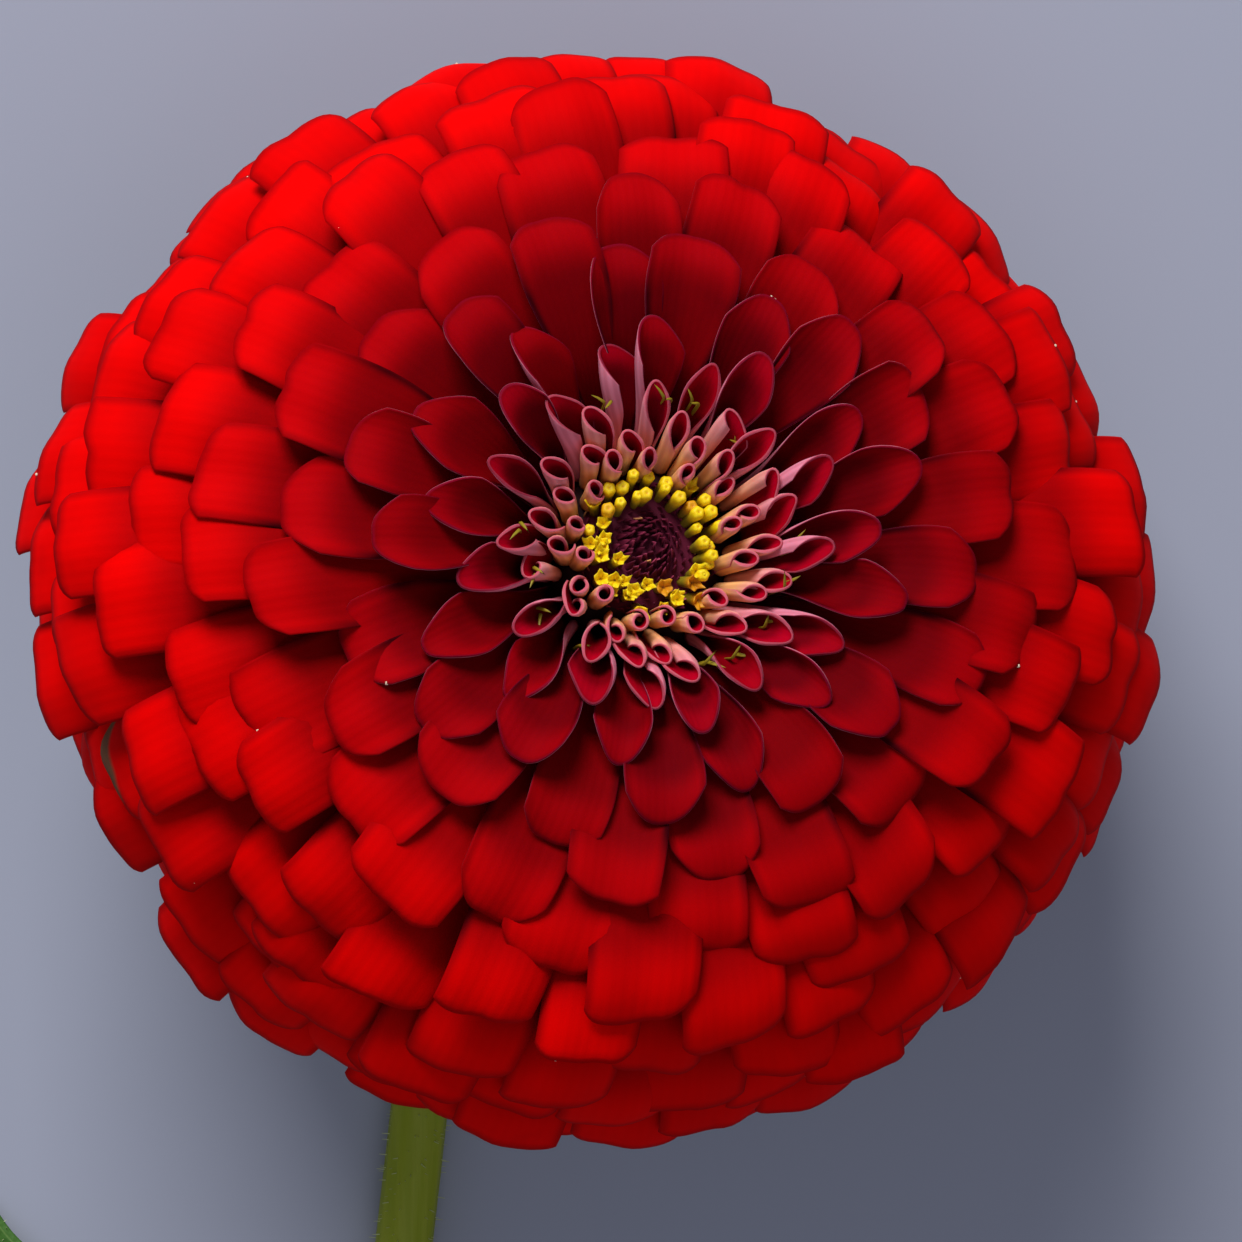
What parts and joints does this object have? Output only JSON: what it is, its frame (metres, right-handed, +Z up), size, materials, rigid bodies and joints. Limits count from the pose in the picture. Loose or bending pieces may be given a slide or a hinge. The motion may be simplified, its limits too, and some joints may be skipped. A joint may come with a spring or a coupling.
{
  "type": "zinnia flower",
  "caption": "Double scarlet zinnia on a cut stem, lying on its side: layered ray petals round a bowl of rolled young ones and a yellow ringed disc, green cup and a pair of leaves",
  "frame": {"origin": "middle of the flower's bounding box in plan, on the surface it lies on", "axes": "+Z up from the surface; +Y along the stem from its cut end to the bloom; +X to the right as the bloom is looked down on"},
  "size_m": [0.1176, 0.2042, 0.0752],
  "materials": {
    "ray_petal": "velvety scarlet petal",
    "disc_floret": "waxy yellow floret",
    "chaff": "dry maroon scale",
    "green_stem": "finely hairy green stem",
    "leaf": "rough matt leaf"
  },
  "bodies": {
    "root": {"ray_petals": "ray_petal", "disc_florets": "disc_floret", "disc_centre": "chaff", "involucre": "green_stem", "stem": "green_stem", "leaf_left": "leaf", "leaf_right": "leaf"}
  },
  "joints": []
}
